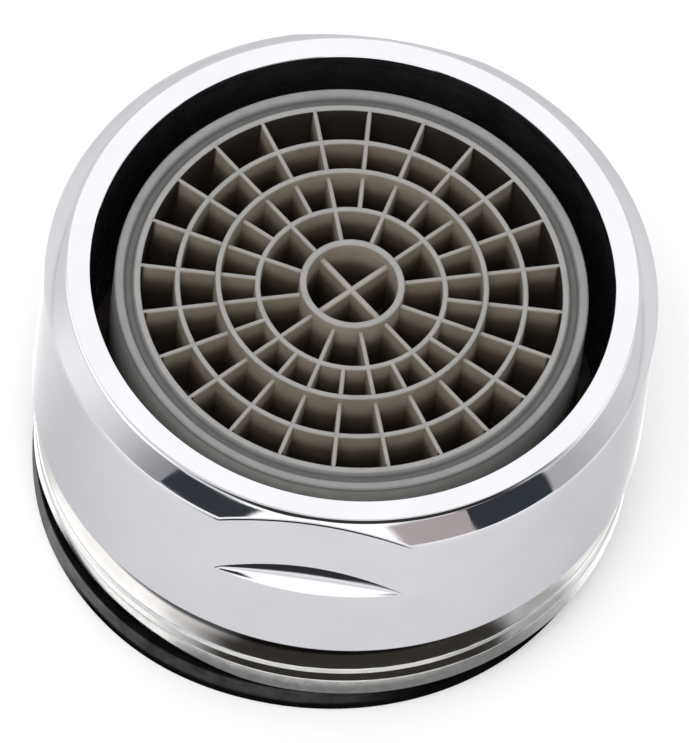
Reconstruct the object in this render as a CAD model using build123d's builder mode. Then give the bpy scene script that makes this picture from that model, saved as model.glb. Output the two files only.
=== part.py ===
from build123d import *
import os
from math import radians, tan

# Tap aerator with a male M24 x 1 thread, standing on its washer with the outlet up.
# Millimetres. The origin is the centre of the washer's lower face, +Z points to the outlet,
# and the two spanner flats face -Y and +Y.

os.makedirs("parts", exist_ok=True)

# Housing radii, worked inwards and outwards from the thread
thread_diameter = 23.9
thread_wall = 1.0
body_step = 0.3
seat_clearance = 0.1
flange_overlap = 0.3
rim_land = 0.9
relief_depth = 0.7

# Housing heights
body_height = 8.55
rim_chamfer_height = 0.88
body_edge_break = 0.12
relief_length = 1.5
thread_length = 2.1
thread_chamfer = 0.12

# Spanner flats, each ending below in a sloping ledge
flat_depth = 0.62
flat_height = 3.3
ledge_angle = 60.0
cutter_margin = 1.0

# Sealing washer, soft and loose enough to lie a little off centre, towards -X and -Y
washer_thickness = 1.3
washer_inset = 0.2
washer_width = 2.5
washer_shift = 0.4
washer_shift_angle = 210.0

# Strainer, a sieve shaped like a shallow hat
strainer_brim = 0.6
collar_clearance = 0.1
collar_wall = 0.6
sieve_recess = 0.4
sieve_thickness = 0.5
sieve_hole = 1.6
sieve_pitch = 2.2
sieve_margin = 1.1

# Jet plate
jet_brim = 0.6
jet_plug_height = 0.6
jet_slot_length = 1.1
jet_slot_width = 0.7
jet_outer_count = 12
jet_outer_inset = 1.6
jet_inner_count = 6
jet_inner_inset = 3.1
post_width = 0.7
post_count = 4

# Mixing grids, two alike and turned by half a web pitch
grid_clearance = 0.1
grid_rim_width = 0.75
grid_height = 1.3
grid_web_height = 0.6
grid_web = 0.4
grid_web_count = 12
grid_hub_diameter = 3.2

# Outlet insert
air_gap = 1.08
flange_thickness = 0.9
insert_wall = 0.72
grid_step = 0.33
grid_gap = 0.5
window_count = 6
window_width = 3.0
window_height = 1.5
window_lift = 0.6

# Outlet grille
rim_recess = 0.75
proud_ring_rise = 0.35
grille_depth = 3.0
ring_web = 0.26
hub_web = 0.33
spoke_web = 0.22
hub_diameter = 3.92
first_ring_gap = 1.79
ring_count = 3
outer_spokes = 24
inner_spokes = 12
hub_arm_count = 4
hub_arm_web = 0.3
hub_arm_recess = 0.45
rim_edge_break = 0.18
grille_turn = 2.3

# Radii
thread_radius = thread_diameter / 2
body_radius = thread_radius + body_step
seat_radius = thread_radius - thread_wall
flange_radius = seat_radius - seat_clearance
bore_radius = flange_radius - flange_overlap
insert_radius = bore_radius - air_gap
relief_radius = thread_radius - relief_depth
flat_radius = body_radius - flat_depth
washer_radius = thread_radius - washer_inset
washer_hole_radius = washer_radius - washer_width
collar_radius = washer_hole_radius - washer_shift - collar_clearance
sieve_radius = collar_radius - collar_wall
chamber_radius = insert_radius - insert_wall
grille_radius = chamber_radius - grid_step
grid_radius = chamber_radius - grid_clearance
post_radius = grid_radius - grid_rim_width / 2

# Heights above the washer's lower face
housing_end = washer_thickness
jet_base = housing_end + strainer_brim
flange_base = jet_base + jet_brim
seat_level = flange_base + flange_thickness
thread_top = housing_end + thread_length
body_base = thread_top + relief_length
rim_level = body_base + body_height
ledge_level = rim_level - flat_height
insert_top = rim_level - rim_recess
proud_top = insert_top + proud_ring_rise
grille_base = insert_top - grille_depth
grid_seat = grille_base - grid_gap
jet_top = flange_base + jet_plug_height

# Cutter for the spanner flats: what lies outside the flats and above the sloping ledge
ledge_slope = tan(radians(ledge_angle))
cutter_base = ledge_level - cutter_margin * ledge_slope
cutter_width = flat_depth + cutter_margin
with BuildPart() as flat_cutter:
    with BuildSketch(Plane.XY.offset(cutter_base)):
        with Locations((0, flat_radius + cutter_width / 2), (0, -flat_radius - cutter_width / 2)):
            Rectangle(2 * body_radius, cutter_width)
    extrude(amount=rim_level + cutter_margin - cutter_base)
    with Locations((0, 0, cutter_base)):
        Cone(
            body_radius + cutter_margin,
            flat_radius - cutter_margin,
            (flat_depth + 2 * cutter_margin) * ledge_slope,
            align=(Align.CENTER, Align.CENTER, Align.MIN),
            mode=Mode.SUBTRACT,
        )

# Housing: one turned piece with a step inside that the insert's flange seats against
with BuildPart() as housing:
    with BuildSketch(Plane.XZ):
        with BuildLine():
            Polyline(
                (seat_radius, housing_end),
                (thread_radius - thread_chamfer, housing_end),
                (thread_radius, housing_end + thread_chamfer),
                (thread_radius, thread_top),
                (relief_radius, thread_top),
                (relief_radius, body_base),
                (body_radius - body_edge_break, body_base),
                (body_radius, body_base + body_edge_break),
                (body_radius, rim_level - rim_chamfer_height),
                (bore_radius + rim_land, rim_level),
                (bore_radius, rim_level),
                (bore_radius, seat_level),
                (seat_radius, seat_level),
                close=True,
            )
        make_face()
    revolve(axis=Axis.Z)
    add(flat_cutter.part, mode=Mode.SUBTRACT)
housing.part.label = "housing"
export_step(housing.part, "parts/housing.step")

# Sealing washer: a flat rubber ring that clamps the stack of inner pieces
with BuildPart() as sealing_washer:
    with BuildSketch():
        with PolarLocations(washer_shift, 1, washer_shift_angle):
            Circle(washer_radius)
            Circle(washer_hole_radius, mode=Mode.SUBTRACT)
    extrude(amount=washer_thickness)
sealing_washer.part.label = "sealing_washer"
export_step(sealing_washer.part, "parts/sealing_washer.step")

# Strainer: its brim lies on the washer and its sieve hangs in the washer's hole
sieve_columns = 2 * int(sieve_radius / sieve_pitch) + 1
hole_reach = sieve_radius - sieve_margin
sieve_spots = [
    spot
    for spot in GridLocations(sieve_pitch, sieve_pitch, sieve_columns, sieve_columns)
    if spot.position.length < hole_reach
]
with BuildPart() as strainer:
    with BuildSketch(Plane.XZ):
        with BuildLine():
            Polyline(
                (0, sieve_recess),
                (collar_radius, sieve_recess),
                (collar_radius, housing_end),
                (flange_radius, housing_end),
                (flange_radius, jet_base),
                (sieve_radius, jet_base),
                (sieve_radius, sieve_recess + sieve_thickness),
                (0, sieve_recess + sieve_thickness),
                close=True,
            )
        make_face()
    revolve(axis=Axis.Z)
    with BuildSketch(Plane.XY.offset(sieve_recess)):
        with Locations(*sieve_spots):
            Rectangle(sieve_hole, sieve_hole)
    extrude(amount=sieve_thickness, mode=Mode.SUBTRACT)
strainer.part.label = "strainer"
export_step(strainer.part, "parts/strainer.step")

# Jet plate: its brim seats on the insert's flange and its posts hold the mixing grids up
with BuildPart() as jet_plate:
    with BuildSketch(Plane.XZ):
        with BuildLine():
            Polyline(
                (0, jet_base),
                (flange_radius, jet_base),
                (flange_radius, flange_base),
                (grid_radius, flange_base),
                (grid_radius, jet_top),
                (0, jet_top),
                close=True,
            )
        make_face()
    revolve(axis=Axis.Z)
    with BuildSketch(Plane.XY.offset(jet_top)):
        with PolarLocations(grid_radius - jet_outer_inset, jet_outer_count):
            Rectangle(jet_slot_length, jet_slot_width)
        with PolarLocations(grid_radius - jet_inner_inset, jet_inner_count):
            Rectangle(jet_slot_length, jet_slot_width)
    extrude(amount=jet_base - jet_top, mode=Mode.SUBTRACT)
    with BuildSketch(Plane.XY.offset(jet_top)):
        with PolarLocations(post_radius, post_count):
            Rectangle(post_width, post_width)
    extrude(amount=grid_seat - 2 * grid_height - jet_top)
jet_plate.part.label = "jet_plate"
export_step(jet_plate.part, "parts/jet_plate.step")

# Mixing grids: the outer one seats on the step inside the insert, the inner one under it
grid_hub_radius = grid_hub_diameter / 2
grid_inner_radius = grid_radius - grid_rim_width
grid_spoke_length = grid_inner_radius - grid_hub_radius + grid_web
grid_turn = 180 / grid_web_count
for label, base, turn in [
    ("mixing_grid_outer", grid_seat - grid_height, 0),
    ("mixing_grid_inner", grid_seat - 2 * grid_height, grid_turn),
]:
    with BuildPart() as mixing_grid:
        with BuildSketch(Plane.XY.offset(base)):
            Circle(grid_radius)
            Circle(grid_inner_radius, mode=Mode.SUBTRACT)
        extrude(amount=grid_height)
        with BuildSketch(Plane.XY.offset(base)):
            Circle(grid_hub_radius)
            with PolarLocations((grid_inner_radius + grid_hub_radius) / 2, grid_web_count, turn):
                Rectangle(grid_spoke_length, grid_web)
        extrude(amount=grid_web_height)
    mixing_grid.part.label = label
    export_step(mixing_grid.part, f"parts/{label}.step")

# Outlet insert: flange, wall with air windows, and the outlet grille moulded in its mouth.
# The rings run from the hub out to the wall, and every second one stands proud of the spokes.
hub_radius = hub_diameter / 2
rim_crest_radius = grille_radius + ring_web / 2
first_ring_radius = hub_radius + first_ring_gap
ring_pitch = (rim_crest_radius - first_ring_radius) / ring_count
ring_radii = [first_ring_radius + i * ring_pitch for i in range(ring_count)]
level_rings = ring_radii[0::2]
proud_rings = ring_radii[1::2]
inner_turn = grille_turn + 180 / inner_spokes
arm_turn = grille_turn + 180 / hub_arm_count
with BuildPart() as outlet_insert:
    with BuildSketch(Plane.XZ):
        with BuildLine():
            Polyline(
                (chamber_radius, flange_base),
                (flange_radius, flange_base),
                (flange_radius, seat_level),
                (insert_radius, seat_level),
                (insert_radius, insert_top - rim_edge_break),
                (insert_radius - rim_edge_break, insert_top),
                (grille_radius, insert_top),
                (grille_radius, grid_seat),
                (chamber_radius, grid_seat),
                close=True,
            )
        make_face()
    revolve(axis=Axis.Z)
    with BuildSketch(Plane.XY.offset(seat_level + window_lift)):
        with PolarLocations(chamber_radius + insert_wall / 2, window_count, grille_turn):
            Rectangle(insert_wall + 2 * cutter_margin, window_width)
    extrude(amount=window_height, mode=Mode.SUBTRACT)
    with BuildSketch(Plane.XY.offset(grille_base)):
        for radius in reversed(level_rings):
            Circle(radius + ring_web / 2)
            Circle(radius - ring_web / 2, mode=Mode.SUBTRACT)
        with PolarLocations((first_ring_radius + rim_crest_radius) / 2, outer_spokes, grille_turn):
            Rectangle(rim_crest_radius - first_ring_radius, spoke_web)
        with PolarLocations((hub_radius + first_ring_radius) / 2, inner_spokes, inner_turn):
            Rectangle(first_ring_radius - hub_radius, spoke_web)
    extrude(amount=grille_depth)
    with BuildSketch(Plane.XY.offset(grille_base)):
        for radius in reversed(proud_rings):
            Circle(radius + ring_web / 2)
            Circle(radius - ring_web / 2, mode=Mode.SUBTRACT)
        Circle(hub_radius + hub_web / 2)
        Circle(hub_radius - hub_web / 2, mode=Mode.SUBTRACT)
    extrude(amount=proud_top - grille_base)
    with BuildSketch(Plane.XY.offset(grille_base)):
        with PolarLocations(hub_radius / 2, hub_arm_count, arm_turn):
            Rectangle(hub_radius, hub_arm_web)
    extrude(amount=proud_top - hub_arm_recess - grille_base)
outlet_insert.part.label = "outlet_insert"
export_step(outlet_insert.part, "parts/outlet_insert.step")
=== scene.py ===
import math
from typing import NamedTuple

import bmesh
import bpy
from bpy.props import FloatProperty, FloatVectorProperty, IntProperty, PointerProperty
from mathutils import Matrix, Vector


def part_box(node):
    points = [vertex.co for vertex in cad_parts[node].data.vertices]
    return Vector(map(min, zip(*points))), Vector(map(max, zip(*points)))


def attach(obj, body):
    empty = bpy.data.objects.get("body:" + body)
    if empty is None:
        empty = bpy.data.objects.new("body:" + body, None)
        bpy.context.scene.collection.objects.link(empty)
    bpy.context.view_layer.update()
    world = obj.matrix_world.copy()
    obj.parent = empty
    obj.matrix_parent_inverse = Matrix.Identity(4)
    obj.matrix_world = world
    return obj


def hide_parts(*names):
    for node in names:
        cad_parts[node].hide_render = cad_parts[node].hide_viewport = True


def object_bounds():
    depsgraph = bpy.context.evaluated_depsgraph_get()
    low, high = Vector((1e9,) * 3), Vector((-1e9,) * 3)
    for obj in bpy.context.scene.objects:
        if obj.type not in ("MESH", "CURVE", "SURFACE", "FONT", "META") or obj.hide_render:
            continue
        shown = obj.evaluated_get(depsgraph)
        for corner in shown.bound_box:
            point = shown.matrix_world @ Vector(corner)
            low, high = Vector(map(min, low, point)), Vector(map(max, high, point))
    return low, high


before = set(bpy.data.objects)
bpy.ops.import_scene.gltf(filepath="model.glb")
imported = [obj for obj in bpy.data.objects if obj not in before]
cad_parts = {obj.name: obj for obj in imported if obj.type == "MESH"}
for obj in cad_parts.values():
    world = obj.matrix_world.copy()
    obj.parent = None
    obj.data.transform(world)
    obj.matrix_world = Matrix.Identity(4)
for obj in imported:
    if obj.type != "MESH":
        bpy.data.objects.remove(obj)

bl_info = {
    "name": "Tap Aerator",
    "version": (1, 0, 0),
    "blender": (4, 5, 0),
    "location": "3D View > Sidebar > Aerator",
    "description": "Builds a tap aerator's visible pieces round its solids, with a plain studio stage",
    "category": "Object",
}

# The frame's own sizes, in metres, from which the pieces take their places
MM = 0.001
CAD_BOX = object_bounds()
HOUSING_LOW, HOUSING_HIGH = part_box("housing")
INSERT_LOW, INSERT_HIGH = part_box("outlet_insert")
WASHER_LOW, WASHER_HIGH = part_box("sealing_washer")
BODY_RADIUS = HOUSING_HIGH.x
RIM_LEVEL = HOUSING_HIGH.z
HOUSING_END = HOUSING_LOW.z
FLANGE_RADIUS = INSERT_HIGH.x
FLANGE_BASE = INSERT_LOW.z
PROUD_LEVEL = INSERT_HIGH.z

# The photograph's height in pixels, and that of the camera's sensor
IMAGE_HEIGHT = 743
SENSOR_HEIGHT_MM = 36.0

# Points closer than this become one, and a smaller number counts as none
MERGE_DISTANCE = 0.0005 * MM
TINY = 1e-6


def length(name, text, default):
    """A length property in metres, with its default given in millimetres."""
    return FloatProperty(name=name, description=text, default=default * MM, unit="LENGTH", precision=6)


def angle(name, text, default):
    """An angle property, with its default given in degrees."""
    return FloatProperty(name=name, description=text, default=math.radians(default), subtype="ANGLE")


def colour(name, text, default):
    """A linear colour property."""
    return FloatVectorProperty(
        name=name, description=text, default=default, subtype="COLOR", size=3, min=0.0, max=1.0
    )


def amount(name, text, default):
    """A plain number, such as a strength or a share."""
    return FloatProperty(name=name, description=text, default=default)


def number(name, text, default):
    """A whole number, such as a count of spokes or of mesh steps."""
    return IntProperty(name=name, description=text, default=default, min=1)


class AERATOR_PG_housing(bpy.types.PropertyGroup):
    """Sizes of the chromed housing"""

    rim_land: length("Rim land", "Width of the rim's flat top", 0.9)
    chamfer_height: length("Rim chamfer", "Height of the rim's chamfer", 0.88)
    bore_radius: length("Bore radius", "Radius of the bore", 10.55)
    rim_lip: length("Rim lip", "Overhang of the rim's inner edge", 0.08)
    lip_height: length("Lip height", "Height of the slope under the lip", 0.7)
    seat_radius: length("Seat radius", "Radius of the flange's recess", 10.95)
    seat_level: length("Seat level", "Height of the flange's stop", 3.4)
    body_base: length("Body base", "Height of the body's lower edge", 4.9)
    edge_break: length("Edge break", "Chamfer on the body's lower edge", 0.12)
    relief_radius: length("Relief radius", "Radius above the thread", 11.25)
    flat_radius: length("Flat radius", "Distance of a flat from the axis", 11.63)
    ledge_level: length("Ledge level", "Height of a flat's lower edge", 10.15)
    ledge_slope: angle("Ledge slope", "Slope of the ledge below a flat", 60.0)
    ledge_hollow: amount("Ledge hollow", "Its hollow as a share of its length", 0.085)
    thread_radius: length("Thread radius", "Radius of the thread's crests", 11.95)
    thread_root: length("Thread root", "Radius of the thread's roots", 11.25)
    thread_top: length("Thread top", "Height of the thread's upper end", 3.22)
    thread_runout: amount("Thread run-out", "Rise to run of the slope up to the relief", 0.64)
    thread_pitch: length("Thread pitch", "Rise of the thread in one turn", 1.0)
    thread_crest: length("Thread crest", "Width of a crest", 0.27)
    thread_flank: length("Thread flank", "Height of a flank", 0.476)
    thread_start: length("Thread start", "Height of the upper crest at the front", 2.96)
    thread_end: length("Thread end", "Height of the plain lower end", 0.95)
    thread_chamfer: length("Thread chamfer", "Chamfer at the thread's lower end", 0.05)
    thread_rows: number("Thread rows", "Mesh rows up the thread", 120)
    edge_rounding: length("Edge rounding", "Rounding of the turned edges", 0.07)
    flat_steps: number("Flat steps", "Mesh steps across half a flat", 12)


class AERATOR_PG_insert(bpy.types.PropertyGroup):
    """Sizes of the grey outlet insert"""

    wall_radius: length("Wall radius", "Outer radius of the wall", 9.47)
    chamber_radius: length("Chamber radius", "Inner radius behind the grille", 8.75)
    grille_radius: length("Grille radius", "Inner radius at the grille", 8.42)
    proud_rise: length("Proud rise", "Height of the proud rings above the rest", 0.35)
    grille_depth: length("Grille depth", "Depth of the webs", 3.0)
    seat_depth: length("Grid seat depth", "Depth of the mixing grid's seat", 0.5)
    flange_thickness: length("Flange thickness", "Thickness of the flange", 0.9)
    rim_roll: length("Rim roll", "Rounding of the rim's outer edge", 0.3)
    groove_radius: length("Groove radius", "Radius of the rim's groove", 8.9)
    groove_width: length("Groove width", "Width of the rim's groove", 0.46)
    groove_depth: length("Groove depth", "Depth of the rim's groove", 0.28)
    ring_web: length("Ring web", "Thickness of a ring", 0.26)
    hub_web: length("Hub web", "Thickness of the hub's ring", 0.33)
    spoke_web: length("Spoke web", "Thickness of a spoke", 0.22)
    spoke_sink: length("Spoke sink", "Gap from the rings' tops and bases", 0.006)
    hub_radius: length("Hub radius", "Radius of the hub's ring", 1.96)
    first_ring: length("First ring", "Radius of the ring next to the hub", 3.75)
    ring_count: number("Rings", "Rings between the hub and the rim", 3)
    outer_spokes: number("Outer spokes", "Spokes outside the first ring", 24)
    inner_spokes: number("Inner spokes", "Spokes inside the first ring", 12)
    arm_web: length("Arm web", "Thickness of the arms in the hub", 0.3)
    arm_recess: length("Arm recess", "Depth of the arms below the hub's top", 0.45)
    turn: angle("Turn", "Turn of the spokes from the flats", 2.3)
    crown: length("Crown", "Rounding of the webs' top edges", 0.1)
    draft: amount("Draft", "Share by which a web is thinner at its top", 0.12)
    window_count: number("Windows", "Air windows in the wall", 6)
    window_width: length("Window width", "Width of an air window", 3.0)
    window_height: length("Window height", "Height of an air window", 1.5)
    window_lift: length("Window lift", "Their height above the flange", 0.6)
    ring_steps: number("Ring steps", "Mesh steps round a ring", 144)


class AERATOR_PG_washer(bpy.types.PropertyGroup):
    """Sizes of the sealing washer"""

    width: length("Width", "Width of the rubber ring", 2.5)
    rounding: length("Rounding", "Rounding of its edges", 0.14)
    dent: length("Dent", "Depth of the dent at the left", 0.19)
    dent_place: angle("Dent place", "Direction of the dent", 187.0)
    dent_spread: angle("Dent spread", "Reach of the dent to each side", 18.0)
    bulge: length("Bulge", "Height of the bulge beside the dent", 0.13)
    bulge_place: angle("Bulge place", "Direction of the bulge", 242.0)
    bulge_spread: angle("Bulge spread", "Reach of the bulge to each side", 20.0)
    steps: number("Steps", "Mesh steps round the ring", 192)


class AERATOR_PG_finish(bpy.types.PropertyGroup):
    """Colours of the materials"""

    chrome: colour("Chrome", "Polished chrome plate", (0.62, 0.615, 0.645))
    chrome_edge: colour("Chrome edge", "Chrome plate at a glancing angle", (0.68, 0.68, 0.69))
    thread: colour("Thread crest", "Worn chrome on the thread's crests", (0.62, 0.615, 0.61))
    groove: colour("Thread groove", "Browner plate in the thread's grooves", (0.56, 0.545, 0.53))
    # Painted shade: the relief's corner between the thread and the body is darkened where shade falls.
    relief_shade: colour("Relief dirt", "Dirt between the thread and the body", (0.08, 0.08, 0.085))
    # Painted shade: the thread's lowest turn is darker, for the shadowed floor near the washer that it
    # reflects.
    thread_end: colour("Thread end", "Rubbed plate on the thread's lowest turn", (0.52, 0.515, 0.505))
    # Painted shade: the bore's inside is near black for the shade deep in the gap round the insert.
    bore: colour("Bore", "Dark inside of the bore", (0.016, 0.016, 0.018))
    # Painted highlight: the webs' crests are a little paler than the rim's grey.
    webs: colour("Webs", "Grey plastic on the webs' crests", (0.35, 0.346, 0.338))
    rim: colour("Rim", "Grey plastic on the rim", (0.28, 0.28, 0.277))
    # Painted shade: the rim's groove is darker grey.
    rim_groove_shade: colour("Rim groove", "Darker grey in the rim's groove", (0.105, 0.104, 0.102))
    # Painted light: the outer wall is paler than the rest of the plastic.
    outside: colour("Outside", "Paler grey on the outer wall", (0.62, 0.605, 0.575))
    # Painted shade down the cells: warm grey high on their walls, brown half way down and dark deep in them.
    shoulder_shade: colour("Shoulders", "Warm grey high on the cells' walls", (0.34, 0.295, 0.24))
    cell_wall_shade: colour("Walls", "Brown half way down the cells", (0.115, 0.086, 0.063))
    deep_shade: colour("Depths", "Dark plastic deep in the cells", (0.04, 0.03, 0.024))
    inner: colour("Inner", "Plastic of the hidden pieces", (0.07, 0.063, 0.056))
    strainer: colour("Strainer", "Plastic of the strainer", (0.62, 0.62, 0.60))
    rubber: colour("Rubber", "Grey rubber on the washer's wall", (0.05, 0.05, 0.051))
    # Painted light: the washer's wall is paler on the left, where more light falls.
    rubber_light: colour("Rubber dust", "Dusty rubber on the left", (0.21, 0.21, 0.21))
    # Painted shade: near black along the washer's top and foot and on its right.
    rubber_shade: colour("Rubber edge", "Clean rubber along the edges", (0.005, 0.005, 0.005))


class AERATOR_PG_stage(bpy.types.PropertyGroup):
    """Light, floor and camera"""

    azimuth: angle("Azimuth", "Camera's turn from the front", 0.75)
    elevation: angle("Elevation", "Camera's height above the horizon", 57.3)
    roll: angle("Roll", "Camera's roll", 7.7)
    distance: length("Distance", "Camera's distance", 1200.0)
    scale: amount("Scale", "Pixels to a millimetre in the middle", 25.06)
    aim: FloatVectorProperty(
        name="Aim", description="Point in the middle of the picture", subtype="XYZ", size=3, precision=6,
        default=(0.17 * MM, -0.67 * MM, 7.57 * MM),
    )
    sky: amount("Sky", "Strength of the light from all round", 0.5)
    softbox: amount("Softbox", "Brightness that it adds to the room's", 0.53)
    key: amount("Key", "Light that it gives a level white surface", 0.55)
    floor: colour("Floor", "Floor's colour", (0.82, 0.82, 0.82))
    floor_glow: amount("Floor glow", "Brightness that it adds where it is seen", 0.3)


def rounded(corners, bend_points=4, most_of_side=0.45):
    """A closed outline through corners (radius, height, rounding), each rounded by a short curve."""
    outline = []
    for i, (radius, height, rounding) in enumerate(corners):
        corner = Vector((radius, height))
        if not rounding:
            outline.append(corner)
            continue
        before = Vector(corners[i - 1][:2]) - corner
        after = Vector(corners[(i + 1) % len(corners)][:2]) - corner
        reach = min(rounding, most_of_side * before.length, most_of_side * after.length)
        start = corner + before.normalized() * reach
        end = corner + after.normalized() * reach
        for k in range(bend_points):
            t = k / (bend_points - 1)
            outline.append(start.lerp(corner, t).lerp(corner.lerp(end, t), t))
    return outline


def tidy_mesh(bm):
    """Merges doubles, drops empty faces and turns all faces outwards."""
    bmesh.ops.remove_doubles(bm, verts=bm.verts, dist=MERGE_DISTANCE)
    bmesh.ops.dissolve_degenerate(bm, dist=MERGE_DISTANCE, edges=bm.edges)
    bmesh.ops.recalc_face_normals(bm, faces=bm.faces)


def spun_ring(section, steps, centre=(0.0, 0.0)):
    """A ring spun round Z from a closed outline; section(angle) gives the outline's points."""
    bm = bmesh.new()
    place = bm.verts.layers.int.new("place")
    loop = [bm.verts.new((point.x, 0.0, point.y)) for point in section(0.0)]
    for i, vertex in enumerate(loop):
        vertex[place] = i
    edges = [bm.edges.new((loop[i - 1], loop[i])) for i in range(len(loop))]
    bmesh.ops.spin(bm, geom=loop + edges, axis=(0, 0, 1), angle=math.tau, steps=steps, use_merge=True)
    outlines = [section(math.tau * k / steps) for k in range(steps)]
    for vertex in bm.verts:
        turn = math.atan2(vertex.co.y, vertex.co.x)
        k = round(turn / math.tau * steps) % steps
        point = outlines[k][vertex[place]]
        step_angle = math.tau * k / steps
        vertex.co = (
            centre[0] + point.x * math.cos(step_angle),
            centre[1] + point.x * math.sin(step_angle),
            point.y,
        )
    tidy_mesh(bm)
    return bm


def plain_ring(corners, steps):
    """A ring with the same rounded outline all round."""
    outline = rounded(corners)
    return spun_ring(lambda turn: outline, steps)


def bar(start, end, web, low, high, crown, draft):
    """A bar along X from start to end, with a rounded and slightly thinner top."""
    bm = bmesh.new()
    bmesh.ops.create_cube(bm, size=1.0)
    bmesh.ops.scale(bm, vec=(end - start, web, high - low), verts=bm.verts)
    middle = (low + high) / 2
    bmesh.ops.translate(bm, vec=((start + end) / 2, 0.0, middle), verts=bm.verts)
    top = [vertex for vertex in bm.verts if vertex.co.z > middle]
    bmesh.ops.scale(bm, vec=(1.0, 1.0 - draft, 1.0), verts=top)
    top_edges = [edge for edge in bm.edges if all(vertex in top for vertex in edge.verts)]
    along = [edge for edge in top_edges if abs(edge.verts[0].co.y - edge.verts[1].co.y) < MERGE_DISTANCE]
    bmesh.ops.bevel(
        bm, geom=along, offset=crown, offset_type="OFFSET",
        segments=4, profile=0.5, affect="EDGES", material=-1,
    )
    return bm


def turned(bm, turn):
    """Turns a mesh round Z."""
    bmesh.ops.rotate(bm, cent=(0, 0, 0), matrix=Matrix.Rotation(turn, 3, "Z"), verts=bm.verts)
    return bm


def turned_copies(bm, count, first_turn):
    """Turns a mesh round Z and repeats it evenly."""
    turned(bm, first_turn)
    geometry = [*bm.verts, *bm.edges, *bm.faces]
    rest = math.tau * (count - 1) / count
    bmesh.ops.spin(bm, geom=geometry, axis=(0, 0, 1), angle=rest, steps=count - 1, use_duplicate=True)
    return bm


def new_object(name, bm):
    """An object at the origin, made from a mesh."""
    mesh = bpy.data.meshes.new(name)
    bm.to_mesh(mesh)
    bm.free()
    piece = bpy.data.objects.new(name, mesh)
    bpy.context.scene.collection.objects.link(piece)
    return piece


def combine(piece, tools):
    """Adds or cuts other closed meshes, given as (operation, mesh) pairs."""
    helpers = []
    for operation, bm in tools:
        helper = new_object("helper", bm)
        modifier = piece.modifiers.new(operation, "BOOLEAN")
        modifier.operation = operation
        modifier.solver = "MANIFOLD"
        modifier.object = helper
        helpers.append(helper)
    depsgraph = bpy.context.evaluated_depsgraph_get()
    result = bpy.data.meshes.new_from_object(piece.evaluated_get(depsgraph))
    spent = [piece.data, *(helper.data for helper in helpers)]
    piece.modifiers.clear()
    piece.data = result
    for helper in helpers:
        bpy.data.objects.remove(helper)
    for mesh in spent:
        bpy.data.meshes.remove(mesh)
    result.name = piece.name


def finish_piece(piece, node, materials, sharp_angle):
    """Shades a piece smooth between sharp edges, gives it materials and sets it in its node's place."""
    mesh = piece.data
    mesh.materials.clear()
    for material in materials:
        mesh.materials.append(material)
    mesh.shade_smooth()
    mesh.set_sharp_from_angle(angle=math.radians(sharp_angle))
    weighted = piece.modifiers.new("Weighted Normal", "WEIGHTED_NORMAL")
    weighted.keep_sharp = True
    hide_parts(node)
    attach(piece, "root")


def feed(tree, value, socket):
    """Links a value to a socket, or sets it there if it is a plain number or colour."""
    if isinstance(value, bpy.types.NodeSocket):
        tree.links.new(value, socket)
    else:
        socket.default_value = value


def add(tree, kind, inputs, **settings):
    """Adds a node with its settings and inputs, and gives its outputs."""
    node = tree.nodes.new(f"ShaderNode{kind}")
    for name, setting in settings.items():
        setattr(node, name, setting)
    for name, value in inputs.items():
        feed(tree, value, node.inputs[name])
    return node.outputs


def new_material(name):
    """A material and its node tree."""
    material = bpy.data.materials.new(name)
    material.use_nodes = True
    return material, material.node_tree


def shade(material, inputs):
    """Feeds the main shader of a material."""
    tree = material.node_tree
    for name, value in inputs.items():
        feed(tree, value, tree.nodes["Principled BSDF"].inputs[name])


def own_point(tree):
    """The shaded point, in the piece's own coordinates."""
    return add(tree, "TexCoord", {})["Object"]


def own_place(tree, axis):
    """The shaded point's own place along an axis."""
    return add(tree, "SeparateXYZ", {"Vector": own_point(tree)})[axis]


def own_radius(tree):
    """The shaded point's own distance from the Z axis."""
    level = add(tree, "VectorMath", {0: own_point(tree), 1: (1.0, 1.0, 0.0)}, operation="MULTIPLY")
    return add(tree, "VectorMath", {0: level["Vector"]}, operation="LENGTH")["Value"]


def joined(tree, operation, first, second):
    """Joins two values by one step of arithmetic."""
    return add(tree, "Math", {0: first, 1: second}, operation=operation)[0]


def mapped(tree, value, start, end, low, high, course="LINEAR"):
    """Runs from low to high while a value goes from start to end."""
    inputs = {"Value": value, "From Min": start, "From Max": end, "To Min": low, "To Max": high}
    return add(tree, "MapRange", inputs, interpolation_type=course)["Result"]


def span(tree, value, start, end):
    """Runs smoothly from 0 to 1 while a value goes from start to end."""
    return mapped(tree, value, start, end, 0.0, 1.0, "SMOOTHSTEP")


def layered(tree, under, *layers):
    """Lays colours over one another; each comes in while a value goes from start to end."""
    for over, value, start, end in layers:
        inputs = {"Factor": span(tree, value, start, end), "A": under, "B": over}
        under = add(tree, "Mix", inputs, data_type="RGBA")["Result"]
    return under


# Detail of the noise in a colour, a gloss and a grain, and the range of it that the first two use
COLOUR_DETAIL, GLOSS_DETAIL, GRAIN_DETAIL = 3.0, 5.0, 4.0
COLOUR_RANGE, GLOSS_RANGE = (0.3, 0.7), (0.35, 0.65)


def noise(tree, scale, detail):
    """Noise with its scale in cells to a millimetre."""
    inputs = {"Vector": own_point(tree), "Scale": scale / MM, "Detail": detail}
    return add(tree, "TexNoise", inputs)["Fac"]


def mottled(tree, base, scale, spread):
    """A colour that is darker and paler in places by a share of its base."""
    node = tree.nodes.new("ShaderNodeValToRGB")
    factors = (1.0 - spread, 1.0 + spread)
    for element, position, factor in zip(node.color_ramp.elements, COLOUR_RANGE, factors):
        element.position = position
        element.color = (*(min(channel * factor, 1.0) for channel in base), 1.0)
    feed(tree, noise(tree, scale, COLOUR_DETAIL), node.inputs["Fac"])
    return node.outputs["Color"]


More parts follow.
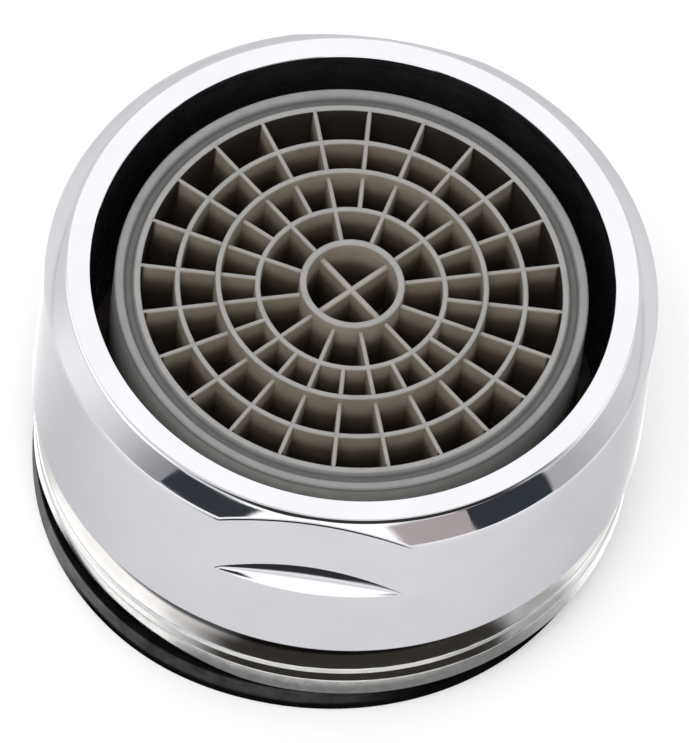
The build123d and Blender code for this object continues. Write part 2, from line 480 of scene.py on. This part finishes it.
def dress(material, base, gloss, grain=None):
    """Gives a material its colour, a gloss (cells to a millimetre, lowest and highest roughness) and, if it
    has one, a grain (cells to a millimetre, height in millimetres, strength)."""
    tree = material.node_tree
    scale, low, high = gloss
    roughness = mapped(tree, noise(tree, scale, GLOSS_DETAIL), *GLOSS_RANGE, low, high)
    shade(material, {"Base Color": base, "Roughness": roughness})
    if grain:
        scale, height, strength = grain
        inputs = {"Strength": strength, "Distance": height * MM, "Height": noise(tree, scale, GRAIN_DETAIL)}
        shade(material, {"Normal": add(tree, "Bump", inputs)["Normal"]})


MOULD_GRAIN = (9.0, 0.006, 0.3)


def plain_finish(name, base, scale, spread, gloss, grain=None):
    """A material of one mottled colour."""
    material, tree = new_material(name)
    dress(material, mottled(tree, base, scale, spread), gloss, grain)
    return material


def chrome_plate(finish):
    """Polished chrome with faint haze."""
    material = plain_finish(
        "chrome_plate", finish.chrome, scale=0.35, spread=0.025,
        gloss=(0.8, 0.035, 0.075), grain=(1.5, 0.002, 0.15),
    )
    shade(material, {"Metallic": 1.0, "Specular Tint": (*finish.chrome_edge, 1.0)})
    return material


def thread_chrome(finish, sizes):
    """Worn chrome on the thread's crests, browner plate in its grooves and painted shade in the relief."""
    material, tree = new_material("thread_chrome")
    radius, height = own_radius(tree), own_place(tree, "Z")
    end_top, turn_base = HOUSING_END + 0.9 * MM, HOUSING_END + 1.2 * MM
    crest_edge, groove_edge = sizes.thread_radius - 0.02 * MM, sizes.thread_radius - 0.3 * MM
    relief_shade_edge, relief_shade_full = sizes.relief_radius + 0.26 * MM, sizes.relief_radius + 0.14 * MM
    plate = layered(
        tree,
        # The lowest turn keeps this darker plate as painted shade; the crests' plate comes in above it.
        mottled(tree, finish.thread_end, scale=2.0, spread=0.1),
        (mottled(tree, finish.thread, scale=2.5, spread=0.05), height, end_top, turn_base),
        (mottled(tree, finish.groove, scale=1.2, spread=0.06), radius, crest_edge, groove_edge),
        # Painted shade in the relief's corner
        (mottled(tree, finish.relief_shade, scale=1.2, spread=0.2), radius, relief_shade_edge, relief_shade_full),
    )
    dress(material, plate, gloss=(2.0, 0.05, 0.1))
    shade(material, {"Metallic": 1.0})
    return material


def rim_plastic(finish, sizes):
    """Moulded plastic, painted light on the wall, painted shade low on it and in the groove, duller rim."""
    material, tree = new_material("rim_plastic")
    radius, height = own_radius(tree), own_place(tree, "Z")
    top = PROUD_LEVEL - sizes.proud_rise
    dark_level, light_level = top - 5.0 * MM, top - 1.2 * MM
    wall_edge, face_edge = sizes.wall_radius - 0.15 * MM, sizes.wall_radius - 0.25 * MM
    groove_floor, groove_edge = top - sizes.groove_depth, top - 0.08 * MM
    # Painted shade deep on the outer wall and in the groove, painted light higher up the outer wall
    plastic = layered(
        tree,
        mottled(tree, finish.deep_shade, scale=1.2, spread=0.2),
        (mottled(tree, finish.outside, scale=1.4, spread=0.07), height, dark_level, light_level),
        (mottled(tree, finish.rim_groove_shade, scale=1.4, spread=0.07), radius, wall_edge, face_edge),
        (mottled(tree, finish.rim, scale=1.4, spread=0.07), height, groove_floor, groove_edge),
    )
    dress(material, plastic, gloss=(2.5, 0.4, 0.55), grain=MOULD_GRAIN)
    return material


def grille_walls(finish, sizes):
    """Moulded plastic with painted shade: browner and darker down the cells' walls and dark inside the rim.
    """
    material, tree = new_material("grille_walls")
    radius, height = own_radius(tree), own_place(tree, "Z")
    dark_level, wall_level = PROUD_LEVEL - 2.4 * MM, PROUD_LEVEL - 1.4 * MM
    shoulder_base, shoulder_top = PROUD_LEVEL - 1.6 * MM, PROUD_LEVEL - 0.8 * MM
    cells_edge, rim_inside = sizes.grille_radius - 0.2 * MM, sizes.grille_radius - 0.05 * MM
    # Painted shade, darkest deep in the cells and inside the rim
    deep_shade = mottled(tree, finish.deep_shade, scale=1.2, spread=0.2)
    plastic = layered(
        tree,
        deep_shade,
        (mottled(tree, finish.cell_wall_shade, scale=1.2, spread=0.15), height, dark_level, wall_level),
        (mottled(tree, finish.shoulder_shade, scale=1.2, spread=0.1), height, shoulder_base, shoulder_top),
        (deep_shade, radius, cells_edge, rim_inside),
    )
    dress(material, plastic, gloss=(2.5, 0.45, 0.6), grain=MOULD_GRAIN)
    return material


def washer_rubber(finish):
    """Matte black rubber with painted shade along its edges and on the right, and painted light on the left.
    """
    material, tree = new_material("washer_rubber")
    side, height = own_place(tree, "X"), own_place(tree, "Z")
    middle, right_shade_end = 0.0, 5.0 * MM
    wall_light_start, wall_light_full = -5.5 * MM, -11.0 * MM
    foot_light_start, foot_light_full = -8.5 * MM, -10.5 * MM
    wall_top, edge_base = WASHER_HIGH.z - 0.1 * MM, WASHER_HIGH.z - 0.01 * MM
    wall_base, foot_top = WASHER_LOW.z + 0.64 * MM, WASHER_LOW.z + 0.36 * MM
    painted_shade = mottled(tree, finish.rubber_shade, scale=1.6, spread=0.3)
    painted_light = mottled(tree, finish.rubber_light, scale=1.6, spread=0.25)
    # Painted shade on the right, along the top edge and at the foot; painted light on the left
    rubber = layered(
        tree,
        mottled(tree, finish.rubber, scale=1.6, spread=0.35),
        (painted_shade, side, middle, right_shade_end),
        (painted_light, side, wall_light_start, wall_light_full),
        (painted_shade, height, wall_top, edge_base),
        (layered(tree, painted_shade, (painted_light, side, foot_light_start, foot_light_full)), height, wall_base, foot_top),
    )
    dress(material, rubber, gloss=(2.2, 0.6, 0.8), grain=(7.0, 0.012, 0.4))
    shade(material, {"Specular IOR Level": 0.0})
    return material


class AERATOR_OT_housing(bpy.types.Operator):
    """Builds the chromed housing with its flats and thread"""

    bl_idname = "aerator.housing"
    bl_label = "Housing"

    def execute(self, context):
        sizes, finish = context.scene.aerator_housing, context.scene.aerator_finish
        half_flat = math.acos(sizes.flat_radius / BODY_RADIUS)
        steps = 4 * round(math.pi / 2 * sizes.flat_steps / half_flat)
        piece = new_object("housing_shell", spun_ring(self.section(sizes), steps))
        # The bore's near-black material is painted shade.
        bore = plain_finish("bore_painted_shade", finish.bore, scale=1.2, spread=0.3, gloss=(1.5, 0.22, 0.4))
        materials = [chrome_plate(finish), bore, thread_chrome(finish, sizes)]
        finish_piece(piece, "housing", materials, sharp_angle=30.0)
        self.soften_thread(piece.data, sizes)
        self.paint(piece.data, sizes)
        return {"FINISHED"}

    def section(self, sizes):
        """The housing's outline at an angle, with the flats and the thread."""
        land_radius = sizes.bore_radius + sizes.rim_land
        slope = math.tan(sizes.ledge_slope)
        tip_level = sizes.ledge_level - (BODY_RADIUS - sizes.flat_radius) * slope
        chamfer_slope = sizes.chamfer_height / (BODY_RADIUS - land_radius)
        soft = sizes.edge_rounding
        land_edge, chamfer_edge, relief_corner = 2.0 * soft, 1.6 * soft, 0.2 * soft
        # The run-out's lowest mesh row is short, so that its shading stays straight
        last_row = 0.06

        def outline(turn):
            reach = min(BODY_RADIUS, sizes.flat_radius / max(abs(math.sin(turn)), TINY))
            chamfer_level = RIM_LEVEL - (reach - land_radius) * chamfer_slope
            ledge_top = tip_level + (BODY_RADIUS - reach) * slope
            thread = self.thread(sizes, turn)
            run = thread[0][0] - sizes.relief_radius
            rise = run * sizes.thread_runout
            return rounded([
                (sizes.bore_radius, RIM_LEVEL - sizes.lip_height, soft),
                (sizes.bore_radius - sizes.rim_lip, RIM_LEVEL, soft),
                (land_radius, RIM_LEVEL, land_edge),
                (reach, chamfer_level, chamfer_edge),
                *self.ledge(sizes, reach, ledge_top, tip_level),
                (BODY_RADIUS, sizes.body_base + sizes.edge_break, soft),
                (BODY_RADIUS - sizes.edge_break, sizes.body_base, soft),
                (sizes.relief_radius, sizes.body_base, soft),
                (sizes.relief_radius, sizes.thread_top + rise, relief_corner),
                (sizes.relief_radius + run * (1.0 - last_row), sizes.thread_top + rise * last_row, 0.0),
                *thread,
                (sizes.seat_radius, HOUSING_END, soft),
                (sizes.seat_radius, sizes.seat_level, 0.0),
                (sizes.bore_radius, sizes.seat_level, soft),
            ])

        return outline

    def ledge(self, sizes, reach, top, tip, rows=10):
        """Points down the hollow ledge, from the flat to the body's wall."""
        start, end = Vector((reach, top)), Vector((BODY_RADIUS, tip))
        inwards = Vector((-math.sin(sizes.ledge_slope), -math.cos(sizes.ledge_slope)))
        depth = sizes.ledge_hollow * (end - start).length
        points = []
        for i in range(rows + 1):
            share = i / rows
            point = start.lerp(end, share) + inwards * depth * 4 * share * (1 - share)
            points.append((point.x, point.y, 0.0))
        return points

    def thread(self, sizes, turn):
        """Points down the thread, where crest and groove follow a right-handed helix."""
        front = math.radians(-90.0)
        rise = sizes.thread_pitch * (turn - front) / math.tau
        depth = sizes.thread_radius - sizes.thread_root
        points = []
        for i in range(sizes.thread_rows + 1):
            height = sizes.thread_top + (HOUSING_END - sizes.thread_top) * i / sizes.thread_rows
            turns = (height - sizes.thread_start - rise) / sizes.thread_pitch
            off_crest = abs(turns - round(turns)) * sizes.thread_pitch
            fall = self.straight((off_crest - sizes.thread_crest / 2) / sizes.thread_flank)
            end_fall = self.straight((height - HOUSING_END - sizes.thread_end) / sizes.thread_flank)
            radius = sizes.thread_radius - depth * min(fall, end_fall)
            edge = sizes.thread_radius - max(HOUSING_END + sizes.thread_chamfer - height, 0.0)
            points.append((min(radius, edge), height, 0.0))
        return points

    def straight(self, share, soft=0.06):
        """Runs from 0 to 1 along a straight line with rounded ends."""
        share = min(max(share, 0.0), 1.0)
        from_end = min(share, 1.0 - share)
        height = from_end ** 2 / (2 * soft) if from_end < soft else from_end - soft / 2
        height /= 1.0 - soft
        return height if share < 0.5 else 1.0 - height

    def soften_thread(self, mesh, sizes):
        """Clears the sharp edges that the steep flanks would have."""
        lowest, highest = HOUSING_END + sizes.thread_chamfer, sizes.body_base - 0.1 * MM
        for edge in mesh.edges:
            ends = [mesh.vertices[i].co for i in edge.vertices]
            on_thread = all(lowest < end.z < highest for end in ends)
            if on_thread and all(end.xy.length > sizes.seat_radius for end in ends):
                edge.use_edge_sharp = False

    def paint(self, mesh, sizes):
        """Gives the bore its painted shade and the threaded end its own finish."""
        chrome, bore, thread = range(3)
        bore_reach, bore_top = sizes.seat_radius + 0.02 * MM, RIM_LEVEL - 0.12 * MM
        thread_limit = sizes.body_base - 0.02 * MM
        for face in mesh.polygons:
            inside = face.center.xy.length < bore_reach and face.center.z < bore_top
            if inside and face.normal.xy.dot(face.center.xy) <= 0:
                face.material_index = bore
            elif face.center.z < thread_limit:
                face.material_index = thread
            else:
                face.material_index = chrome


class AERATOR_OT_insert(bpy.types.Operator):
    """Builds the outlet insert with its grille of rings and spokes"""

    bl_idname = "aerator.insert"
    bl_label = "Outlet Insert"

    def execute(self, context):
        sizes, finish = context.scene.aerator_insert, context.scene.aerator_finish
        top = PROUD_LEVEL - sizes.proud_rise
        piece = new_object("outlet_grille", plain_ring(self.shell(sizes, top), sizes.ring_steps))
        base, rim_crest = top - sizes.grille_depth, sizes.grille_radius + sizes.ring_web / 2
        webs = self.rings(sizes, base, top, rim_crest) + self.spokes(sizes, base, top, rim_crest)
        combine(piece, [*(("UNION", web) for web in webs), ("DIFFERENCE", self.windows(sizes))])
        crests = plain_finish(
            "grille_plastic", finish.webs, scale=1.4, spread=0.07, gloss=(2.5, 0.38, 0.52), grain=MOULD_GRAIN
        )
        materials = [crests, grille_walls(finish, sizes), rim_plastic(finish, sizes)]
        finish_piece(piece, "outlet_insert", materials, sharp_angle=35.0)
        self.paint(piece.data, sizes, top)
        return {"FINISHED"}

    def paint(self, mesh, sizes, top):
        """Sets the up-facing crests and the rim apart from the walls of the cells, which get painted shade.
        """
        crest, wall, rim = range(3)
        rim_start = sizes.groove_radius - sizes.groove_width / 2
        crest_base, crest_slope = top - 0.12 * MM, 0.6
        for face in mesh.polygons:
            if face.center.xy.length > rim_start:
                face.material_index = rim
            elif face.center.z > crest_base and face.normal.z > crest_slope:
                face.material_index = crest
            else:
                face.material_index = wall

    def shell(self, sizes, top):
        """Outline of the flange, the wall and the rolled rim with its groove."""
        seat = top - sizes.grille_depth - sizes.seat_depth
        half = sizes.groove_width / 2
        floor = top - sizes.groove_depth
        flange_top = FLANGE_BASE + sizes.flange_thickness
        flange_edge, flange_corner, seat_edge, grille_edge = 0.05 * MM, 0.1 * MM, 0.03 * MM, 0.09 * MM
        groove_edge, groove_corner, outer_drop = 0.08 * MM, 0.06 * MM, 0.02 * MM
        return [
            (sizes.chamber_radius, FLANGE_BASE, flange_edge),
            (FLANGE_RADIUS, FLANGE_BASE, flange_edge),
            (FLANGE_RADIUS, flange_top, flange_edge),
            (sizes.wall_radius, flange_top, flange_corner),
            (sizes.wall_radius, top, sizes.rim_roll),
            (sizes.groove_radius + half, top - outer_drop, groove_edge),
            (sizes.groove_radius + half / 2, floor, groove_corner),
            (sizes.groove_radius - half / 2, floor, groove_corner),
            (sizes.groove_radius - half, top, groove_edge),
            (sizes.grille_radius, top, grille_edge),
            (sizes.grille_radius, seat, seat_edge),
            (sizes.chamber_radius, seat, seat_edge),
        ]

    def rings(self, sizes, base, top, rim_crest):
        """The hub and the rings, with every second one proud."""
        rings = [self.ring(sizes, sizes.hub_radius, sizes.hub_web, base, PROUD_LEVEL)]
        pitch = (rim_crest - sizes.first_ring) / sizes.ring_count
        for i in range(sizes.ring_count):
            level = PROUD_LEVEL if i % 2 else top
            rings.append(self.ring(sizes, sizes.first_ring + i * pitch, sizes.ring_web, base, level))
        return rings

    def spokes(self, sizes, base, top, rim_crest):
        """The spokes outside and inside the first ring, and the two arms across the hub."""
        low, high, shape = base + sizes.spoke_sink, top - sizes.spoke_sink, (sizes.crown, sizes.draft)
        outer = bar(sizes.first_ring, rim_crest, sizes.spoke_web, low, high, *shape)
        inner = bar(sizes.hub_radius, sizes.first_ring, sizes.spoke_web, low, high, *shape)
        half_pitch = math.pi / sizes.inner_spokes
        webs = [
            turned_copies(outer, sizes.outer_spokes, sizes.turn),
            turned_copies(inner, sizes.inner_spokes, sizes.turn + half_pitch),
        ]
        arm_level = PROUD_LEVEL - sizes.arm_recess
        for diagonal in (45.0, 135.0):
            low += sizes.spoke_sink
            arm_level -= sizes.spoke_sink
            arm = bar(-sizes.hub_radius, sizes.hub_radius, sizes.arm_web, low, arm_level, *shape)
            webs.append(turned(arm, sizes.turn + math.radians(diagonal)))
        return webs

    def ring(self, sizes, radius, web, base, level):
        """One ring of the grille, thinner and rounded at its top."""
        half = web / 2
        top_half = half * (1.0 - sizes.draft)
        corners = [
            (radius - half, base, 0.0),
            (radius + half, base, 0.0),
            (radius + top_half, level, sizes.crown),
            (radius - top_half, level, sizes.crown),
        ]
        return plain_ring(corners, sizes.ring_steps)

    def windows(self, sizes):
        """Blocks that cut the air windows through the wall."""
        low = FLANGE_BASE + sizes.flange_thickness + sizes.window_lift
        reach = 0.5 * MM
        block = bar(
            sizes.chamber_radius - reach, sizes.wall_radius + reach, sizes.window_width,
            low, low + sizes.window_height, sizes.crown, 0.0,
        )
        return turned_copies(block, sizes.window_count, sizes.turn)


class AERATOR_OT_washer(bpy.types.Operator):
    """Builds the rubber sealing washer"""

    bl_idname = "aerator.washer"
    bl_label = "Sealing Washer"

    def execute(self, context):
        sizes = context.scene.aerator_washer
        centre = (WASHER_LOW + WASHER_HIGH) / 2
        outer = (WASHER_HIGH.x - WASHER_LOW.x) / 2
        inner, soft = outer - sizes.width, sizes.rounding

        def outline(turn):
            dent = sizes.dent * self.lobe(turn - sizes.dent_place, sizes.dent_spread)
            bulge = sizes.bulge * self.lobe(turn - sizes.bulge_place, sizes.bulge_spread)
            reach = outer - dent + bulge
            return rounded([
                (inner, WASHER_LOW.z, soft),
                (reach, WASHER_LOW.z, soft),
                (reach, WASHER_HIGH.z, soft),
                (inner, WASHER_HIGH.z, soft),
            ])

        piece = new_object("washer_ring", spun_ring(outline, sizes.steps, centre.xy))
        materials = [washer_rubber(context.scene.aerator_finish)]
        finish_piece(piece, "sealing_washer", materials, sharp_angle=40.0)
        return {"FINISHED"}

    def lobe(self, turn, spread):
        """A smooth rise to 1 round a direction."""
        return math.exp(-(math.remainder(turn, math.tau) / spread) ** 2)


class AERATOR_OT_inner_stack(bpy.types.Operator):
    """Finishes the pieces behind the grille: mixing grids, jet plate and strainer"""

    bl_idname = "aerator.inner_stack"
    bl_label = "Inner Stack"

    def execute(self, context):
        finish = context.scene.aerator_finish
        inner = plain_finish("inner_plastic", finish.inner, scale=1.0, spread=0.12, gloss=(2.0, 0.45, 0.6))
        sieve = plain_finish(
            "strainer_plastic", finish.strainer, scale=0.9, spread=0.05,
            gloss=(2.0, 0.35, 0.5), grain=(6.0, 0.006, 0.25),
        )
        names = ("mixing_grid_outer", "mixing_grid_inner", "jet_plate", "strainer")
        for name, material in zip(names, (inner, inner, inner, sieve)):
            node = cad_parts[name]
            node.data.materials.clear()
            node.data.materials.append(material)
        return {"FINISHED"}


class StandingCard(NamedTuple):
    """A card that faces the object, with its place and size in degrees."""

    name: str
    azimuth: float
    elevation: float
    width: float
    height: float
    shade: tuple
    fades: tuple
    distance: float = 0.5


class FloorCard(NamedTuple):
    """A card that lies on the floor, with its middle and half its sides in millimetres."""

    name: str
    across: float
    along: float
    half_width: float
    half_length: float
    shade: tuple
    fades: tuple


class FootCard(NamedTuple):
    """Part of a ring on the floor, close round the washer, in millimetres and degrees."""

    name: str
    outer: float
    outer_fade: float
    azimuth: float
    reach: float
    shade: tuple
    lift: float


# Shares of a card over which its left, right, lower and upper edges fade out
SOFT = (0.2, 0.2, 0.2, 0.2)

# Shades of the cards, and the floor's and the room's white
NIGHT_BLUE = (0.045, 0.055, 0.065)
NEAR_BLACK = (0.05, 0.045, 0.04)
BRIGHT, PALE = (1.7, 1.7, 1.7), (1.4, 1.4, 1.4)
WHITE, BLACK = (1.0, 1.0, 1.0, 1.0), (0.0, 0.0, 0.0, 1.0)

STANDING_CARDS = (
    StandingCard("card_dark_left", -34.0, 25.0, 32.0, 17.0, NIGHT_BLUE, (0.05, 0.1, 0.1, 0.1)),
    StandingCard("card_shade_left", -60.5, 24.0, 23.0, 32.0, (0.42, 0.42, 0.44), (0.95, 0.02, 0.1, 0.1)),
    StandingCard("card_dark_right", 60.0, 24.0, 26.0, 32.0, NIGHT_BLUE, (0.06, 0.06, 0.06, 0.06)),
    StandingCard("card_pink", 34.5, 25.0, 26.0, 18.0, (0.62, 0.55, 0.53), (0.15, 0.06, 0.1, 0.1)),
    StandingCard("card_shade_right", 91.0, 11.0, 37.0, 28.0, (0.6, 0.6, 0.61), (0.02, 0.95, 0.1, 0.1)),
    StandingCard("card_front", 0.0, 25.0, 54.0, 46.0, BRIGHT, SOFT, 0.6),
    StandingCard("card_edge_left", -44.0, 6.0, 60.0, 11.0, BRIGHT, SOFT, 0.55),
    StandingCard("card_edge_right", 50.0, 5.0, 50.0, 9.0, BRIGHT, SOFT, 0.55),
    StandingCard("card_camera", 26.0, 66.0, 77.0, 44.0, NEAR_BLACK, (0.17, 0.17, 0.06, 0.06)),
    StandingCard("card_camera_right", 86.0, 46.0, 22.0, 26.0, (0.6, 0.6, 0.6), (0.3, 0.4, 0.2, 0.2), 0.52),
    StandingCard("card_low_left", -90.0, 11.0, 46.0, 40.0, (1.35, 1.35, 1.35), (0.5, 0.5, 0.35, 0.35)),
    StandingCard("card_left", -90.0, 45.0, 60.0, 30.0, BRIGHT, SOFT, 0.6),
    StandingCard("card_right", 105.0, 42.0, 40.0, 30.0, PALE, SOFT, 0.6),
)
FLOOR_CARDS = (
    FloorCard("card_strip", -4.0, -55.75, 18.0, 34.25, (0.04, 0.04, 0.045), (0.25, 0.25, 0.5, 0.04)),
    FloorCard("card_floor_left", -21.0, 13.0, 13.0, 17.0, PALE, (0.2, 0.02, 0.2, 0.2)),
    FloorCard("card_floor_right", 21.0, 12.0, 13.0, 18.0, (1.15, 1.15, 1.15), (0.02, 0.2, 0.15, 0.2)),
)
FOOT_CARDS = (
    FootCard("foot_front", 13.45, 0.55, 13.0, 44.0, (0.34, 0.34, 0.34), 0.14),
    FootCard("foot_left", 12.85, 0.25, -41.0, 26.0, (0.01, 0.01, 0.01), 0.15),
    FootCard("foot_right", 14.4, 0.5, 48.0, 20.0, (0.62, 0.62, 0.62), 0.13),
    FootCard("foot_white_left", 13.45, 0.5, -66.0, 46.0, (1.6, 1.6, 1.6), 0.12),
    FootCard("foot_white_right", 13.8, 0.5, 94.0, 34.0, PALE, 0.11),
)

# The floor cards' lift and the foot cards' inner radius, in millimetres, and end fade, in degrees
FLOOR_CARD_LIFT, FOOT_INNER, FOOT_END_FADE = 0.1, 11.0, 12.0

# The lamps' distance and half the floor's side, in metres
LAMP_DISTANCE, FLOOR_HALF = 0.7, 2.0


def direction(azimuth, elevation):
    """Direction from the object, with the azimuth from the front, towards the right, in degrees."""
    a, e = math.radians(azimuth), math.radians(elevation)
    return Vector((math.sin(a) * math.cos(e), -math.cos(a) * math.cos(e), math.sin(e)))


def facing(azimuth, elevation, distance):
    """A place in a direction from the object, turned towards it."""
    outwards = direction(azimuth, elevation)
    turn = outwards.to_track_quat("Z", "Y").to_matrix().to_4x4()
    return Matrix.Translation(outwards * distance) @ turn


class AERATOR_OT_stage(bpy.types.Operator):
    """Sets up the floor, the light and the camera"""

    bl_idname = "aerator.stage"
    bl_label = "Stage"

    def execute(self, context):
        stage = context.scene.aerator_stage
        self.sky(context.scene, stage)
        self.floor(stage)
        self.softbox(stage)
        self.key(stage)
        self.cards()
        self.camera(context.scene, stage)
        context.scene.view_settings.view_transform = "Standard"
        return {"FINISHED"}

    def seen_ray(self, tree):
        """One for rays that show the stage itself: from the camera, or by way of metal or glass."""
        path = add(tree, "LightPath", {})
        seen = joined(tree, "MAXIMUM", path["Is Camera Ray"], path["Is Glossy Ray"])
        return joined(tree, "MAXIMUM", seen, path["Is Transmission Ray"])

    def sky(self, scene, stage):
        """An even white room."""
        world = bpy.data.worlds.new("white_room")
        world.use_nodes = True
        tree = world.node_tree
        background = tree.nodes["Background"]
        background.inputs["Color"].default_value = WHITE
        strength = mapped(tree, self.seen_ray(tree), 0.0, 1.0, stage.sky, 1.0)
        tree.links.new(strength, background.inputs["Strength"])
        scene.world = world

    def floor(self, stage):
        """A white floor that keeps a faint shadow."""
        bm = bmesh.new()
        bmesh.ops.create_grid(bm, x_segments=1, y_segments=1, size=FLOOR_HALF)
        bmesh.ops.translate(bm, vec=(0.0, 0.0, CAD_BOX[0].z), verts=bm.verts)
        floor = new_object("floor", bm)
        material, tree = new_material("floor_paper")
        glow = mapped(tree, self.seen_ray(tree), 0.0, 1.0, 0.0, stage.floor_glow)
        paper = {"Base Color": (*stage.floor, 1.0), "Roughness": 0.9}
        shade(material, {**paper, "Emission Color": WHITE, "Emission Strength": glow})
        floor.data.materials.append(material)

    def softbox(self, stage):
        """A large soft lamp behind and above the object, which the rim's land reflects."""
        exitance = stage.softbox * math.pi
        self.lamp("softbox", azimuth=180.0, elevation=57.0, width=0.7, height=0.45, exitance=exitance)

    def key(self, stage):
        """A soft lamp above the camera for the plastics, left out of the chrome's reflections."""
        width, height = 0.5, 0.4
        exitance = stage.key * (math.pi * LAMP_DISTANCE) ** 2 / (width * height)
        lamp = self.lamp("key", azimuth=-12.0, elevation=66.0, width=width, height=height, exitance=exitance)
        lamp.visible_glossy = False

    def lamp(self, name, azimuth, elevation, width, height, exitance):
        """A rectangular lamp that faces the object; its exitance is its light to an area."""
        lamp_data = bpy.data.lights.new(name, "AREA")
        lamp_data.shape = "RECTANGLE"
        lamp_data.size = width
        lamp_data.size_y = height
        lamp_data.energy = exitance * width * height
        lamp = bpy.data.objects.new(name, lamp_data)
        lamp.matrix_world = facing(azimuth, elevation, LAMP_DISTANCE)
        bpy.context.scene.collection.objects.link(lamp)
        return lamp

    def cards(self):
        """Sets up the cards that only the chrome's reflections show."""
        for card in STANDING_CARDS:
            half_width = card.distance * math.tan(math.radians(card.width / 2))
            half_height = card.distance * math.tan(math.radians(card.height / 2))
            self.card(card, half_width, half_height, facing(card.azimuth, card.elevation, card.distance))
        for card in FLOOR_CARDS:
            middle = Vector((card.across * MM, card.along * MM, CAD_BOX[0].z + FLOOR_CARD_LIFT * MM))
            self.card(card, card.half_width * MM, card.half_length * MM, Matrix.Translation(middle))
        for card in FOOT_CARDS:
            self.foot_card(card)

    def foot_card(self, card):
        """Part of a ring on the floor, which the threaded end reflects."""
        near, far = FOOT_INNER * MM, card.outer * MM
        bm = bmesh.new()
        bmesh.ops.create_circle(bm, cap_ends=False, segments=96, radius=near)
        outer = bmesh.ops.extrude_edge_only(bm, edges=bm.edges)["geom"]
        outer_verts = [item for item in outer if isinstance(item, bmesh.types.BMVert)]
        bmesh.ops.scale(bm, vec=(far / near, far / near, 1.0), verts=outer_verts)
        bmesh.ops.translate(bm, vec=(0.0, 0.0, CAD_BOX[0].z + card.lift * MM), verts=bm.verts)
        material, tree = new_material(card.name)
        outwards = add(tree, "VectorMath", {0: own_point(tree)}, operation="NORMALIZE")["Vector"]
        front = direction(card.azimuth, 0.0)
        ahead = add(tree, "VectorMath", {0: outwards, 1: front}, operation="DOT_PRODUCT")["Value"]
        end, full = (math.cos(math.radians(card.reach - fade)) for fade in (0.0, FOOT_END_FADE))
        within_ends = span(tree, ahead, end, full)
        within_outside = span(tree, own_radius(tree), far, far - card.outer_fade * MM)
        self.hang(card, bm, material, joined(tree, "MULTIPLY", within_ends, within_outside))

    def card(self, card, half_width, half_height, place):
        """A flat card that shines by itself and fades out along its edges."""
        bm = bmesh.new()
        bm.loops.layers.uv.new("UVMap")
        bmesh.ops.create_grid(bm, x_segments=1, y_segments=1, size=1.0, calc_uvs=True)
        bmesh.ops.scale(bm, vec=(half_width, half_height, 1.0), verts=bm.verts)
        bmesh.ops.transform(bm, matrix=place, verts=bm.verts)
        material, tree = new_material(card.name)
        self.hang(card, bm, material, self.faded_edges(tree, card.fades))

    def hang(self, card, bm, material, mask):
        """Makes a card that shines evenly where its mask is 1, and that only reflections show."""
        strength = max(card.shade)
        tint = (*(channel / strength for channel in card.shade), 1.0)
        shade(material, {"Base Color": BLACK, "Specular IOR Level": 0.0, "Alpha": mask})
        shade(material, {"Emission Color": tint, "Emission Strength": strength})
        piece = new_object(card.name, bm)
        piece.data.materials.append(material)
        piece.visible_camera = piece.visible_transmission = False
        piece.visible_diffuse = piece.visible_shadow = False

    def faded_edges(self, tree, fades):
        """One in the middle of a card, running out to 0 along its edges."""
        parts = add(tree, "SeparateXYZ", {"Vector": add(tree, "UVMap", {})["UV"]})
        across, up = parts["X"], parts["Y"]
        left, right, low, high = fades
        edges = ((across, 0.0, left), (across, 1.0, 1.0 - right), (up, 0.0, low), (up, 1.0, 1.0 - high))
        mask, *others = [span(tree, *edge) for edge in edges]
        for edge in others:
            mask = joined(tree, "MULTIPLY", mask, edge)
        return mask

    def camera(self, scene, stage):
        """The photograph's camera."""
        toward = direction(math.degrees(stage.azimuth), math.degrees(stage.elevation))
        camera_data = bpy.data.cameras.new("camera")
        camera_data.sensor_fit = "VERTICAL"
        camera_data.sensor_height = SENSOR_HEIGHT_MM
        camera_data.lens = stage.scale / MM * stage.distance * SENSOR_HEIGHT_MM / IMAGE_HEIGHT
        camera = bpy.data.objects.new("camera", camera_data)
        turn = (-toward).to_track_quat("-Z", "Y").to_matrix().to_4x4()
        place = Matrix.Translation(Vector(stage.aim) + toward * stage.distance)
        camera.matrix_world = place @ turn @ Matrix.Rotation(stage.roll, 4, "Z")
        scene.collection.objects.link(camera)
        scene.camera = camera


class AERATOR_PT_panel(bpy.types.Panel):
    """Lists the aerator's pieces in the sidebar"""

    bl_idname = "AERATOR_PT_panel"
    bl_label = "Tap Aerator"
    bl_space_type = "VIEW_3D"
    bl_region_type = "UI"
    bl_category = "Aerator"

    def draw(self, context):
        for operator in OPERATORS:
            self.layout.operator(operator.bl_idname)


OPERATORS = (
    AERATOR_OT_housing,
    AERATOR_OT_insert,
    AERATOR_OT_washer,
    AERATOR_OT_inner_stack,
    AERATOR_OT_stage,
)
GROUPS = {
    "aerator_housing": AERATOR_PG_housing,
    "aerator_insert": AERATOR_PG_insert,
    "aerator_washer": AERATOR_PG_washer,
    "aerator_finish": AERATOR_PG_finish,
    "aerator_stage": AERATOR_PG_stage,
}
CLASSES = (*GROUPS.values(), *OPERATORS, AERATOR_PT_panel)


def register():
    for entry in CLASSES:
        bpy.utils.register_class(entry)
    for name, group in GROUPS.items():
        setattr(bpy.types.Scene, name, PointerProperty(type=group))


def unregister():
    for name in GROUPS:
        delattr(bpy.types.Scene, name)
    for entry in reversed(CLASSES):
        bpy.utils.unregister_class(entry)


def main():
    register()
    bpy.ops.aerator.housing()
    bpy.ops.aerator.insert()
    bpy.ops.aerator.washer()
    bpy.ops.aerator.inner_stack()
    bpy.ops.aerator.stage()


if __name__ == "__main__":
    main()
